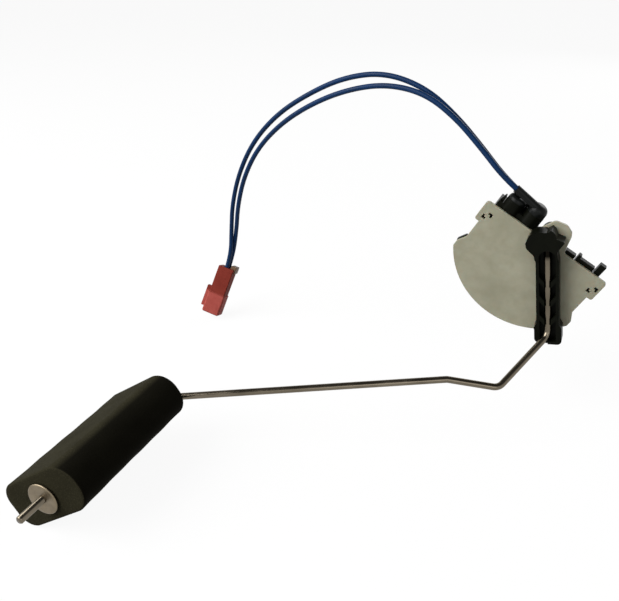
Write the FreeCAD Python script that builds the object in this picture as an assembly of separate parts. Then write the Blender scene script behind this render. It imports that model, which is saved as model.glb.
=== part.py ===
"""Fuel level sender.

A foam float rides on a long bent wire.  The wire is clipped into an arm that
turns on the front of a flat sector-shaped housing and moves a wiper over a
resistor card inside.  Two leads arch from the housing to a small connector.

Millimetres.  The origin is on the pivot axis where it meets the flat back of
the housing.  +Z is up, +X is right and -Y is the front.  A height "above the
back" is measured along -Y.  The housing is drawn in a frame of its own, with s
along its straight edge and t square to it, and is then turned by chord_tilt.
The arm is drawn hanging straight down and is then turned to its rest angle.
"""
import FreeCAD, Part
import math
import os

V = FreeCAD.Vector

# Posture
chord_tilt = 29.5
arm_travel = 76.0
arm_rest = chord_tilt - arm_travel / 2

# Clearances
running_gap = 0.05
face_gap = 0.3
arm_gap = 0.5
contact_gap = 0.1
lead_gap = 0.2

# Pivot
pin_diameter = 4.0
pin_root = 1.2
hub_wall = 1.95
collar_wall = 1.25
boss_wall = 1.6
boss_height = 2.0

# Housing shells, heights above the back
base_floor = 2.0
shell_wall = 1.6
cover_thickness = 1.6
housing_depth = 11.5
skirt_depth = 2.0
skirt_wall = 1.1
skirt_gap = 0.15

# Front cover outline, s and t measured from the pivot
chord_drop = 1.3
waist_half_width = 28.2
tab_step = 2.3
tab_depth = 10.0
waist_end = -20.5
shoulder_step = 2.4
shoulder_start = -24.5
shoulder_end = -27.3
rim_bottom = -44.3
cover_rounding = 1.5
pivot_lobe = [(-7.5, 0.0, 1.5), (-2.9, 9.5, 2.5), (2.0, 10.7, 3.0), (5.4, 9.3, 1.5),
              (6.5, 7.6, 1.5), (8.6, 0.0, 1.5)]
window_size = 3.8
window_slit = 0.95
window_in_from_edge = 3.3
window_down = 6.0
window_shift = 0.6

# Back base outline
base_side_inset = 1.7
base_chord_inset = 4.2
base_rim_inset = 1.5
pivot_pad_margin = 0.6
snap_post_size = 4.4
snap_post_height = 6.4
lug_reach = 0.5
lug_height = 2.0

# Clips along the right half of the straight edge: start, end, top in t
clip_floor = 6.5
edge_clips = [(8.7, 13.4, 0.2), (14.1, 22.7, 0.4), (14.1, 15.4, 1.6), (23.4, 26.2, 3.4)]

# Terminal block on the left half of the straight edge
block_left = -26.7
block_right = -6.6
block_top = 1.0
block_depth = 4.0
block_inner_left = -13.0
barrel_diameter = 8.4
barrel_left = -20.3
barrel_right = -10.9
barrel_height = 7.0
barrel_top = 4.4
barrel_bore = 4.4
back_wall_top = 5.4
back_wall_height = 2.7
spike_width = 2.1
spike_top = 4.2

# Lead seals on the barrels
seal_diameter = 8.2
seal_plug = 2.0
seal_left_top = 6.6
seal_right_top = 9.0
seal_left_rounding = 2.0
seal_right_rounding = 3.0
sleeve_wall = 0.55
left_sleeve_start = (-21.3, 7.9, 6.4)
left_sleeve_end = (-23.8, 8.3, 6.3)
right_sleeve_start = (-10.9, 7.2, 8.3)
right_sleeve_end = (-24.0, 9.6, 10.6)

# Resistor card and its terminals
card_thickness = 0.8
card_inner = 7.0
card_margin = 0.84
card_gap = 0.1
card_angle = 94.0
track_thickness = 0.25
track_width = 2.4
outer_track = 26.0
track_pitch = 6.0
track_end_angle = 5.0
pad_end_angle = 0.5
terminal_width = 2.5
terminal_thickness = 0.7
terminal_height = 5.8
terminal_drop = -8.4
terminal_foot_past_rivet = 1.5
left_rivet_past_waist = 0.86
left_rivet_angle = 2.7
right_rivet_reach = 15.77
right_rivet_angle = 3.28
rivet_diameter = 1.2
rivet_head = 2.2
rivet_head_height = 0.4

# Wiper
carrier_half_width = 2.8
carrier_thickness = 2.2
carrier_reach = 16.0
spring_half_width = 2.3
spring_thickness = 0.25
spring_root = 8.5
spring_step = 2.5
spring_past_track = 1.4
spring_slot = 1.2
wiper_rivets_at = (10.5, 13.5)
wiper_rivet_depth = 1.6
contact_diameter = 1.6
contact_height = 0.4

# Arm wire: its bends, in the hanging arm's frame, with Y to the back
wire_diameter = 3.0
wire_root_depth = 3.5
wire_root_bend = 3.0
wire_bend_radius = 5.0
float_bend_radius = 4.5
foot_bend_z = -42.6
low_bend = (-17.5, -42.5, -56.1)
high_bend = (-37.8, -49.5, -49.9)
float_bend = (-156.0, -98.0, -42.9)

# Arm holder
holder_floor = 3.0
holder_half_width = 4.7
holder_wall = 1.3
wall_above_wire = 1.9
hood_above_wire = 3.0
hood_end = -2.3
hood_side_end = -6.6
foot_half_width = 5.8
foot_start = -38.5
foot_end = -46.4
foot_rounding = 2.0
foot_notch_start = -39.5
foot_notch_floor = 2.3
head_outline = [(-4.7, -8.0, 2.0), (-5.4, -4.5, 1.5), (-8.4, -1.2, 1.5), (-8.7, 1.0, 1.5),
                (-6.9, 4.6, 2.5), (-4.0, 6.1, 2.0), (0.0, 5.6, 0.5), (1.9, 6.8, 0.7),
                (3.3, 5.2, 1.0), (3.9, 2.8, 0.4), (7.2, 1.5, 0.5), (3.9, -2.9, 1.5),
                (4.7, -8.0, 2.0)]
barb_places = (-17.0, -25.7, -34.7)
barb_slope = 3.4
barb_thickness = 2.6
barb_lip_height = 0.9
barb_lip_gap = 1.28

# Float
float_width = 40.6
float_thickness = 19.4
float_rounding = 9.0
float_left_rounding = 7.0
float_length = 64.0
float_tilt = 35.0
float_edge = 0.8
float_bore_gap = 0.08
float_from_bend = 3.5
washer_diameter = 13.0
washer_thickness = 1.0
washer_edge = 0.25
wire_past_washer = 11.2

# Connector, with its own frame: x across, y away from the viewer, z up its length
connector_foot = V(-179.86, 6.6, -79.96)
connector_axis = V(0.221, 0.3965, 0.891)
connector_across = V(0.9018, 0.2647, -0.3415)
connector_turn = 11.0
connector_width = 10.2
connector_depth = 9.0
connector_length = 28.4
connector_step = 12.2
connector_shrink = 0.45
connector_rounding = 1.0
rib_width = 2.35
rib_thickness = 3.0
rib_start = 2.6
rib_end = 14.9
entry_pitch = 3.6
entry_recess = 2.6
slot_width = 2.8
slot_depth = 1.4
retainer_width = 2.7
retainer_front = -2.0
retainer_length = 2.2
retainer_top = 1.9
retainer_proud = 0.6
retainer_gap = 0.1
contact_end = 1.5
contact_width = 2.2
contact_blade = 0.9
contact_crimp = 5.0
lead_inside = 5.4

# Leads
lead_diameter = 2.4
sleeve_run = 8.0
connector_run = 14.0

# Values that follow
tab_half_width = waist_half_width + tab_step
shoulder_half_width = waist_half_width + shoulder_step
left_rivet_reach = waist_half_width + left_rivet_past_waist
pin_radius = pin_diameter / 2
hub_bore = pin_radius + running_gap
collar_radius = hub_bore + collar_wall
hub_radius = hub_bore + hub_wall
cover_bore = hub_radius + face_gap
boss_radius = pin_radius + boss_wall
cover_inner = housing_depth - cover_thickness
boss_top = base_floor + boss_height
hub_bottom = boss_top + face_gap
holder_back = housing_depth + arm_gap
wire_radius = wire_diameter / 2
wire_height = holder_back + holder_floor + wire_radius
wire_root_height = wire_height - wire_root_depth
hub_bore_top = holder_back - arm_gap
pin_top = hub_bore_top - face_gap
carrier_top = cover_inner - face_gap
carrier_bottom = carrier_top - carrier_thickness
card_top = base_floor + card_thickness
track_top = card_top + track_thickness
contact_bottom = track_top + contact_gap
spring_low = contact_bottom + contact_height
inner_track = outer_track - track_pitch
card_outer = max(outer_track + track_width / 2, left_rivet_reach + rivet_head / 2) + card_margin
base_half_width = waist_half_width - base_side_inset
base_chord = -chord_drop - base_chord_inset
base_rim = rim_bottom + base_rim_inset
base_side_end = shoulder_end - base_rim_inset - 2.0
window_s = tab_half_width - window_in_from_edge
window_t = -chord_drop - window_down
half_sweep = math.radians(arm_travel / 2)
sleeve_radius = lead_diameter / 2 + sleeve_wall
float_far = float_bend[1] - float_from_bend
float_near = float_far - float_length
washer_back = float_near - face_gap
wire_tip = washer_back - washer_thickness - wire_past_washer
entry_radius = lead_diameter / 2 + lead_gap
lead_end_height = connector_length - entry_recess - lead_inside


def at(x, z, height):
    """A point at a height above the back."""
    return V(x, -height, z)


def rounded_face(corners, height):
    """A flat face with rounded corners, from (x, z, radius) in order."""
    edges = []
    count = len(corners)
    points = [at(x, z, height) for x, z, radius in corners]
    ends = []
    for i in range(count):
        here = points[i]
        back = points[i - 1] - here
        ahead = points[(i + 1) % count] - here
        half = back.getAngle(ahead) / 2
        reach = min(corners[i][2] / math.tan(half), 0.45 * back.Length, 0.45 * ahead.Length)
        radius = reach * math.tan(half)
        if radius < 0.01 or half > 1.55:
            ends.append((here, here))
            continue
        back.normalize()
        ahead.normalize()
        middle = back + ahead
        middle.normalize()
        first = here + back * reach
        last = here + ahead * reach
        peak = here + middle * (radius / math.sin(half) - radius)
        edges.append(Part.Arc(first, peak, last).toShape())
        ends.append((first, last))
    for i in range(count):
        start = ends[i - 1][1]
        stop = ends[i][0]
        if start.distanceToPoint(stop) > 1e-6:
            edges.append(Part.LineSegment(start, stop).toShape())
    return Part.Face(Part.Wire(Part.__sortEdges__(edges)))


def plate(corners, low, high):
    """A slab with rounded corners between two heights."""
    return rounded_face(corners, low).extrude(V(0, -(high - low), 0))


def block(x0, x1, z0, z1, low, high):
    """A square-cornered slab between two heights."""
    return Part.makeBox(x1 - x0, high - low, z1 - z0, V(x0, -high, z0))


def disc(x, z, radius, low, high):
    """A round slab between two heights."""
    return Part.makeCylinder(radius, high - low, at(x, z, low), V(0, -1, 0))


def rim_segment(half_width, side_end, bottom, low, high):
    """The round lower part of a shell, an arc through its lowest point."""
    left = at(-half_width, side_end, low)
    lowest = at(0, bottom, low)
    right = at(half_width, side_end, low)
    arc = Part.Arc(left, lowest, right).toShape()
    across = Part.LineSegment(right, left).toShape()
    return Part.Face(Part.Wire([arc, across])).extrude(V(0, -(high - low), 0))


def sector(inner, outer, first, last, low, high):
    """A slab between two radii and two angles, both from straight down."""
    def place(radius, angle):
        turn = math.radians(angle)
        return at(radius * math.sin(turn), -radius * math.cos(turn), low)
    middle = (first + last) / 2
    edges = [
        Part.Arc(place(outer, first), place(outer, middle), place(outer, last)).toShape(),
        Part.LineSegment(place(outer, last), place(inner, last)).toShape(),
        Part.Arc(place(inner, last), place(inner, middle), place(inner, first)).toShape(),
        Part.LineSegment(place(inner, first), place(outer, first)).toShape(),
    ]
    return Part.Face(Part.Wire(edges)).extrude(V(0, -(high - low), 0))


def rod(start, end, radius):
    """A straight round rod from one point to another."""
    along = end - start
    return Part.makeCylinder(radius, along.Length, start, along)


def bent_path(points, radii):
    """Straight runs joined by tangent arcs."""
    edges = []
    start = points[0]
    for i in range(1, len(points) - 1):
        corner = points[i]
        back = (points[i - 1] - corner).normalize()
        ahead = (points[i + 1] - corner).normalize()
        half = back.getAngle(ahead) / 2
        reach = radii[i - 1] / math.tan(half)
        middle = (back + ahead).normalize()
        first = corner + back * reach
        last = corner + ahead * reach
        peak = corner + middle * (radii[i - 1] / math.sin(half) - radii[i - 1])
        edges.append(Part.LineSegment(start, first).toShape())
        edges.append(Part.Arc(first, peak, last).toShape())
        start = last
    edges.append(Part.LineSegment(start, points[-1]).toShape())
    return Part.Wire(edges)


def round_sweep(points, radii, radius):
    """A round rod or cord along straight runs and tangent arcs."""
    path = bent_path(points, radii)
    section = Part.Wire(Part.makeCircle(radius, points[0], points[1] - points[0]))
    return path.makePipeShell([section], True, True)


def cord_radii(points):
    """The largest arcs that the runs of a cord allow."""
    radii = []
    for i in range(1, len(points) - 1):
        back = points[i - 1] - points[i]
        ahead = points[i + 1] - points[i]
        half_turn = (math.pi - back.getAngle(ahead)) / 2
        radii.append(0.45 * min(back.Length, ahead.Length) / math.tan(half_turn))
    return radii


def on_housing(shape):
    """Turn a shape drawn in the housing's frame to where the housing stands."""
    shape = shape.copy()
    shape.rotate(V(0, 0, 0), V(0, 1, 0), chord_tilt)
    return shape


def on_arm(shape):
    """Turn a shape drawn on the hanging arm to the arm's rest angle."""
    shape = shape.copy()
    shape.rotate(V(0, 0, 0), V(0, 1, 0), arm_rest)
    return shape


def turned_point(point, angle):
    """A point turned about the pivot."""
    return FreeCAD.Rotation(V(0, 1, 0), angle).multVec(point)


def connector_placement():
    """Where the connector leans on the surface below."""
    up = V(connector_axis).normalize()
    across = connector_across - up * connector_across.dot(up)
    across.normalize()
    across = FreeCAD.Rotation(up, -connector_turn).multVec(across)
    away = up.cross(across)
    matrix = FreeCAD.Matrix(across.x, away.x, up.x, connector_foot.x,
                            across.y, away.y, up.y, connector_foot.y,
                            across.z, away.z, up.z, connector_foot.z,
                            0, 0, 0, 1)
    return FreeCAD.Placement(matrix)


def on_connector(shape):
    """Put a shape drawn upright in the connector's frame in its place."""
    shape = shape.copy()
    shape.Placement = connector_placement().multiply(shape.Placement)
    return shape


def one_solid(shape):
    """Merge the flush faces of a fused shape."""
    return shape.removeSplitter()


# Housing

def cover_outline():
    """Half of the outline is written and the other half is its mirror image."""
    right = [
        (tab_half_width, -chord_drop, cover_rounding),
        (tab_half_width, -chord_drop - tab_depth, cover_rounding),
        (waist_half_width, -chord_drop - tab_depth, 0),
        (waist_half_width, waist_end, cover_rounding),
        (shoulder_half_width, shoulder_start, cover_rounding),
        (shoulder_half_width, shoulder_end, 0),
    ]
    left = [(-x, z, radius) for x, z, radius in reversed(right)]
    lobe = [(x, z - chord_drop, radius) for x, z, radius in pivot_lobe]
    return left + lobe + right


def window_slits(side):
    """Two corner slits that leave a tongue in the middle of a snap window."""
    half = window_size / 2
    s = side * window_s + window_shift
    t = window_t
    low = cover_inner
    high = housing_depth
    upper = block(s, s + half, t + half - window_slit, t + half, low, high)
    upper = upper.fuse(block(s + half - window_slit, s + half, t, t + half, low, high))
    lower = block(s - half, s, t - half, t - half + window_slit, low, high)
    lower = lower.fuse(block(s - half, s - half + window_slit, t - half, t, low, high))
    return upper.fuse(lower)


def cover_skirt():
    """A low rib inside the cover that fits round the sides and rim of the base."""
    low = cover_inner - skirt_depth
    top = window_t - snap_post_size / 2 - face_gap
    near = base_half_width + skirt_gap
    far = near + skirt_wall
    outer = block(-far, far, base_side_end, top, low, cover_inner)
    outer = outer.fuse(rim_segment(far, base_side_end, base_rim - skirt_gap - skirt_wall / 2,
                                   low, cover_inner))
    inner = block(-near, near, base_side_end, top, low, cover_inner)
    inner = inner.fuse(rim_segment(near, base_side_end, base_rim - skirt_gap, low, cover_inner))
    skirt = outer.cut(inner)
    return skirt.cut(shoulder_lug(face_gap))


def front_cover():
    """A flat milky plate with a lobe over the pivot and a snap window at each tab."""
    cover = plate(cover_outline(), cover_inner, housing_depth)
    cover = cover.fuse(rim_segment(shoulder_half_width, shoulder_end, rim_bottom,
                                   cover_inner, housing_depth))
    cover = cover.fuse(cover_skirt())
    cover = cover.cut(disc(0, 0, cover_bore, cover_inner - 1, housing_depth + 1))
    cover = cover.cut(window_slits(-1))
    cover = cover.cut(window_slits(1))
    return on_housing(one_solid(cover))


def base_outline(inset, low, high):
    """The base shell's outline, moved in by an inset."""
    half = base_half_width - inset
    shell = block(-half, half, base_side_end, base_chord - inset, low, high)
    return shell.fuse(rim_segment(half, base_side_end, base_rim + inset, low, high))


def sweep_opening():
    """The gap in the base's straight wall that the wiper swings through."""
    reach = shell_wall - base_chord
    half = reach * math.tan(half_sweep) + (carrier_half_width + face_gap) / math.cos(half_sweep)
    return block(-half, half, -reach - 1, -base_chord, base_floor, cover_inner + 1)


def shoulder_lug(grow):
    """A lug at the left shoulder that shows beside the cover."""
    side = waist_half_width + lug_reach + grow
    shoulder = shoulder_half_width + lug_reach / 2 + grow
    root = -base_half_width + shell_wall / 2
    corners = [
        (root, waist_end + lug_reach / 4 + grow, 0),
        (-side, waist_end + lug_reach / 4 + grow, 0.5),
        (-shoulder, shoulder_start + lug_reach / 4, 0.5),
        (-shoulder_half_width, shoulder_start - lug_reach - grow, 0.4),
        (root, shoulder_start - lug_reach - grow, 0),
    ]
    return plate(corners, cover_inner - lug_height - grow, cover_inner)


def barrel(s):
    """The upright tube that a lead and its seal go into."""
    start = at(s, face_gap - chord_drop, barrel_height)
    end = at(s, barrel_top, barrel_height)
    return rod(start, end, barrel_diameter / 2)


def barrel_hole(s):
    """The bore of a barrel."""
    start = at(s, face_gap - chord_drop, barrel_height)
    end = at(s, barrel_top + 1, barrel_height)
    return rod(start, end, barrel_bore / 2)


def terminal_block():
    """The block under the barrels, with a sprung spike at its outer end."""
    low = base_floor
    high = carrier_top
    body = block(block_left, block_inner_left, block_top - block_depth, block_top, low, high)
    body = body.fuse(block(block_inner_left, block_right, face_gap - chord_drop, block_top,
                           low, high))
    body = body.fuse(block(block_left, block_right, base_chord - shell_wall / 2, block_top,
                           0, base_floor))
    body = body.fuse(block(block_left, block_inner_left, base_chord - shell_wall / 2,
                           block_top, 0, terminal_height - face_gap))
    wall = block(barrel_left, barrel_right, block_top - 1, back_wall_top,
                 low - shell_wall / 2, back_wall_height)
    body = body.fuse(wall)
    spike = plate([(block_left, block_top - 1, 0), (block_left + spike_width, block_top - 1, 0),
                   (block_left + 0.8 * spike_width, spike_top, 0.2),
                   (block_left + 0.5 * spike_width, spike_top, 0.2)],
                  clip_floor, barrel_height + 1)
    return body.fuse(spike)


def back_base():
    """The black base tray, with pivot boss, snap posts, clips and terminal block."""
    base = base_outline(0, 0, cover_inner)
    base = base.cut(base_outline(shell_wall, base_floor, cover_inner + 1))
    base = base.cut(sweep_opening())
    base = base.fuse(disc(0, 0, boss_radius + pivot_pad_margin, 0, base_floor))
    base = base.fuse(block(-boss_radius, boss_radius, base_chord - shell_wall, 0,
                           0, base_floor))
    base = base.fuse(disc(0, 0, boss_radius, 0, boss_top))
    half_post = snap_post_size / 2
    for side in (-1, 1):
        root = side * (base_half_width - shell_wall / 2)
        outer = side * (window_s + half_post) + window_shift
        base = base.fuse(block(min(root, outer), max(root, outer), window_t - half_post,
                               window_t + half_post, cover_inner - snap_post_height,
                               cover_inner))
    for start, end, top in edge_clips:
        base = base.fuse(block(start, end, base_chord - shell_wall / 2, top,
                               clip_floor, carrier_top))
    base = base.fuse(terminal_block())
    base = base.fuse(shoulder_lug(0))
    for s in (barrel_left, barrel_right):
        base = base.fuse(barrel(s))
    for s in (barrel_left, barrel_right):
        base = base.cut(barrel_hole(s))
    base = base.cut(disc(0, 0, pin_radius, boss_top - boss_height - pin_root, boss_top + 1))
    for s, rivet in zip((barrel_left, barrel_right), rivet_places()):
        base = base.cut(terminal_strip(s, rivet, face_gap))
    return on_housing(one_solid(base))


def pivot_pin():
    """A steel pin pressed into the boss, with a small lead-in at its top."""
    pin = disc(0, 0, pin_radius, boss_top - boss_height - pin_root, pin_top)
    top = [edge for edge in pin.Edges if abs(edge.CenterOfMass.y + pin_top) < 1e-6]
    return pin.makeChamfer(0.3, top[:1])


def rivet_places():
    """The left and right rivets, from the pivot and from the card's left end."""
    places = []
    for reach, inside in ((left_rivet_reach, left_rivet_angle),
                          (right_rivet_reach, right_rivet_angle)):
        turn = math.radians(card_angle / 2 - inside)
        places.append((-reach * math.sin(turn), -reach * math.cos(turn)))
    return places


def resistor_card():
    """The ceramic card on the floor of the base."""
    half = card_angle / 2
    card = sector(card_inner, card_outer, -half, half, base_floor, card_top)
    card = card.common(base_outline(shell_wall + card_gap, base_floor, card_top))
    for s, t in rivet_places():
        card = card.cut(disc(s, t, rivet_diameter / 2, base_floor - 1, card_top + 1))
    return on_housing(one_solid(card))


def resistor_tracks():
    """Two printed tracks, each with a pad under its terminal."""
    half = card_angle / 2 - track_end_angle
    pad = card_angle / 2 - pad_end_angle
    wide = track_width / 2
    head = rivet_head / 2
    low = card_top
    high = track_top
    outer = sector(outer_track - wide, outer_track + wide, -half, half, low, high)
    inner = sector(inner_track - wide, inner_track + wide, -half, half, low, high)
    outer = outer.fuse(sector(min(outer_track - wide, left_rivet_reach - head),
                              max(outer_track + wide, left_rivet_reach + head),
                              -pad, -half, low, high))
    inner = inner.fuse(sector(min(inner_track - wide, right_rivet_reach - head),
                              max(inner_track + wide, right_rivet_reach + head),
                              -pad, -half, low, high))
    tracks = []
    for track, (s, t) in zip((outer, inner), rivet_places()):
        track = track.cut(disc(s, t, rivet_diameter / 2, low - 1, high + 1))
        tracks.append(one_solid(track))
    return on_housing(Part.makeCompound(tracks))


def terminal_strip(s, rivet, grow):
    """A brass strip from the barrel through the wall and down to its rivet."""
    half = terminal_width / 2 + grow
    thick = terminal_thickness
    foot_low = track_top
    foot_s, foot_t = rivet
    foot_end = foot_t - terminal_foot_past_rivet
    level = block(s - half, s + half, terminal_drop - grow, barrel_top - 1,
                  terminal_height - grow, terminal_height + thick + grow)
    drop = block(s - half, s + half, terminal_drop - grow, terminal_drop + thick + grow,
                 foot_low, terminal_height + thick + grow)
    foot_top = terminal_drop + thick + grow
    foot = plate([(s - half, foot_top, 0), (s + half, foot_top, 0),
                  (foot_s + half, foot_end - grow, 0), (foot_s - half, foot_end - grow, 0)],
                 foot_low, foot_low + thick - 0.2)
    return one_solid(level.fuse(drop).fuse(foot))


def terminal(s, rivet):
    """The strip with its rivet hole."""
    strip = terminal_strip(s, rivet, 0)
    strip = strip.cut(disc(rivet[0], rivet[1], rivet_diameter / 2, 0, terminal_height - 0.5))
    return on_housing(strip)


def card_rivets():
    """One rivet through each terminal foot, its track and the card."""
    rivets = []
    foot_top = track_top + terminal_thickness - 0.2
    for s, t in rivet_places():
        rivet = disc(s, t, rivet_diameter / 2, base_floor, foot_top)
        rivet = rivet.fuse(disc(s, t, rivet_head / 2, foot_top, foot_top + rivet_head_height))
        rivets.append(one_solid(rivet))
    return on_housing(Part.makeCompound(rivets))


def seal_cap(s, top, rounding):
    """A soft cap on a barrel, with a plug that fills the barrel's mouth."""
    start = at(s, barrel_top, barrel_height)
    cap = rod(start, at(s, top, barrel_height), seal_diameter / 2)
    upper = at(s, top, barrel_height)
    edge = [e for e in cap.Edges if e.CenterOfMass.distanceToPoint(upper) < 1e-3]
    cap = cap.makeFillet(min(rounding, 0.9 * (top - barrel_top)), edge[:1])
    plug_low = at(s, barrel_top - seal_plug + 1, barrel_height)
    return cap.fuse(rod(plug_low, start, barrel_bore / 2 - running_gap))


def sleeve(start, end):
    """A sleeve over a lead, from (s, t, height) to (s, t, height)."""
    first = at(*start)
    last = at(*end)
    return rod(first, last, sleeve_radius).fuse(Part.makeSphere(sleeve_radius, first))


def left_seal():
    """The seal of the left barrel, with an elbow to its short sleeve."""
    cap = seal_cap(barrel_left, seal_left_top, seal_left_rounding)
    s, t, height = left_sleeve_start
    cap = cap.fuse(rod(at(s, barrel_top + 0.5, height), at(s, t, height), sleeve_radius))
    cap = cap.fuse(sleeve(left_sleeve_start, left_sleeve_end))
    return on_housing(one_solid(cap))


def right_seal():
    """The seal of the right barrel, with a long sleeve over the left one."""
    cap = seal_cap(barrel_right, seal_right_top, seal_right_rounding)
    cap = cap.fuse(sleeve(right_sleeve_start, right_sleeve_end))
    return on_housing(one_solid(cap))


# Leads and connector

def lead_route(end_point, ahead, chosen, side):
    """Out of the sleeve, along the chosen points and into the connector."""
    start = turned_point(at(*end_point), chord_tilt)
    inner = turned_point(at(*ahead), chord_tilt)
    first = start + (start - inner).normalize() * sleeve_run
    place = connector_placement()
    y = side * entry_pitch / 2
    last = place.multVec(V(0, y, lead_end_height))
    before = place.multVec(V(0, y, lead_end_height + connector_run))
    return [start, first] + [V(*point) for point in chosen] + [before, last]


lead_left_points = [
    (-32.5, -4.8, 34.0),
    (-45.5, -2.6, 46.2),
    (-60.5, 0.0, 56.6),
    (-80.0, 2.7, 61.5),
    (-100.0, 5.5, 57.8),
    (-119.0, 8.3, 48.8),
    (-137.0, 11.0, 37.2),
    (-152.2, 13.7, 21.6),
    (-162.8, 16.2, 3.0),
    (-169.1, 18.6, -15.9),
    (-171.4, 20.3, -30.6),
]
lead_right_points = [
    (-32.0, -8.8, 34.4),
    (-45.0, -6.4, 46.2),
    (-60.0, -4.0, 55.2),
    (-78.7, -0.8, 57.2),
    (-98.0, 2.0, 52.8),
    (-116.5, 5.0, 44.6),
    (-134.0, 8.0, 33.2),
    (-148.7, 11.0, 18.6),
    (-158.8, 14.0, 1.5),
    (-165.1, 17.4, -16.2),
    (-168.9, 21.6, -31.6),
]


def lead(name, end_point, ahead, chosen, side):
    """A round lead along its route; prints its arcs and tests its volume."""
    points = lead_route(end_point, ahead, chosen, side)
    radii = cord_radii(points)
    path = bent_path(points, radii)
    cord = round_sweep(points, radii, lead_diameter / 2)
    expected = path.Length * math.pi * (lead_diameter / 2) ** 2
    print(name, "length", round(path.Length, 1), "volume ratio", round(cord.Volume / expected, 4))
    print("  runs", [round((b - a).Length, 1) for a, b in zip(points, points[1:])])
    print("  radii", [round(radius, 1) for radius in radii])
    return cord


def upright_box(x0, x1, y0, y1, z0, z1):
    """A box in the connector's frame."""
    return Part.makeBox(x1 - x0, y1 - y0, z1 - z0, V(x0, y0, z0))


def retainer_room(gap):
    """The pocket at the wire end that the retainer is pushed into."""
    right = connector_width / 2 - connector_shrink
    left = right - retainer_width - gap
    half = connector_depth / 2 - connector_shrink
    low = connector_length - retainer_length - gap
    return upright_box(left, right + connector_width, retainer_front - gap, half + connector_depth,
                       low, connector_length + 1)


def connector_housing():
    """A two-way plug body with a fuller lower half, a side rib and a wire entry."""
    half_width = connector_width / 2
    half_depth = connector_depth / 2
    thin = connector_shrink
    body = upright_box(-half_width, half_width, -half_depth, half_depth, 0, connector_step)
    body = body.makeFillet(connector_rounding, [e for e in body.Edges
                                                if e.CenterOfMass.z < connector_step - 1])
    upper = upright_box(-half_width + thin, half_width - thin, -half_depth + thin,
                        half_depth - thin, connector_step - 1, connector_length)
    upper = upper.makeFillet(connector_rounding - thin, [e for e in upper.Edges
                                                         if e.CenterOfMass.z > connector_step])
    body = body.fuse(upper)
    body = body.fuse(upright_box(-half_width - rib_width, -half_width + 1,
                                 -rib_thickness / 2, rib_thickness / 2, rib_start, rib_end))
    recess_half = entry_pitch / 2 + entry_radius
    body = body.cut(upright_box(-entry_radius - 0.6, entry_radius, -recess_half, recess_half,
                                connector_length - entry_recess, connector_length + 1))
    for side in (-1, 1):
        y = side * entry_pitch / 2
        entry = Part.makeCylinder(entry_radius, connector_length, V(0, y, contact_end))
        body = body.cut(entry)
        body = body.cut(upright_box(-slot_width / 2, slot_width / 2, y - slot_depth / 2,
                                    y + slot_depth / 2, -1, contact_end + 1))
    body = body.cut(retainer_room(retainer_gap))
    return on_connector(one_solid(body))


def connector_retainer():
    """The tan lock that holds the contacts, pushed in from the side."""
    half = connector_depth / 2 - connector_shrink + retainer_proud
    right = connector_width / 2 - connector_shrink + retainer_proud
    left = connector_width / 2 - connector_shrink - retainer_width
    low = connector_length - retainer_length
    lock = upright_box(left, right, retainer_front, half, low, connector_length + retainer_top)
    lock = lock.makeFillet(0.5, [e for e in lock.Edges if e.CenterOfMass.x > right - 0.01])
    return on_connector(lock)


def contact(side):
    """A crimped contact: a flat tube at the mating end and a round crimp."""
    y = side * entry_pitch / 2
    low = contact_end + 1 - slot_depth / 2
    crimp_low = lead_end_height - contact_crimp
    tube = upright_box(-contact_width / 2, contact_width / 2, y - contact_blade / 2,
                       y + contact_blade / 2, low, crimp_low + 1)
    crimp = Part.makeCylinder(lead_diameter / 2, contact_crimp, V(0, y, crimp_low))
    return on_connector(one_solid(tube.fuse(crimp)))


# Arm

def wire_points():
    """The wire's corners, drawn on the hanging arm."""
    return [
        at(0, 0, wire_root_height),
        at(0, 0, wire_height),
        at(0, foot_bend_z, wire_height),
        V(*low_bend),
        V(*high_bend),
        V(*float_bend),
        V(float_bend[0], wire_tip, float_bend[2]),
    ]


def wire_shape(radius):
    """The bent wire at a given thickness."""
    radii = [wire_root_bend, wire_bend_radius, wire_bend_radius, wire_bend_radius,
             float_bend_radius]
    return round_sweep(wire_points(), radii, radius)


def arm_wire():
    """Steel wire from the pivot down the holder and out to the float."""
    return on_arm(wire_shape(wire_radius))


def barb(z, side):
    """A clip tooth that slants down and in, with a lip over the wire."""
    wall = holder_half_width - holder_wall / 2
    near = wire_radius + running_gap
    far_z = z + barb_slope
    low = holder_back + holder_floor
    top = wire_height + wall_above_wire
    lip = wire_height + barb_lip_height
    tooth = plate([(side * wall, far_z, 0), (side * near, z, 0),
                   (side * near, z - barb_thickness, 0),
                   (side * wall, far_z - barb_thickness, 0)], low - 0.5, lip)
    over = plate([(side * wall, far_z, 0), (side * barb_lip_gap, z, 0),
                  (side * barb_lip_gap, z - barb_thickness, 0),
                  (side * wall, far_z - barb_thickness, 0)], lip, top)
    return tooth.fuse(over)


def holder_outline():
    """Head, straight body and wider foot."""
    foot = [
        (holder_half_width, foot_start + 2.0, 1.0),
        (foot_half_width, foot_start, 1.0),
        (foot_half_width, foot_end, foot_rounding),
        (-foot_half_width, foot_end, foot_rounding),
        (-foot_half_width, foot_start, 1.0),
        (-holder_half_width, foot_start + 2.0, 1.0),
    ]
    return head_outline + foot


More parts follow.
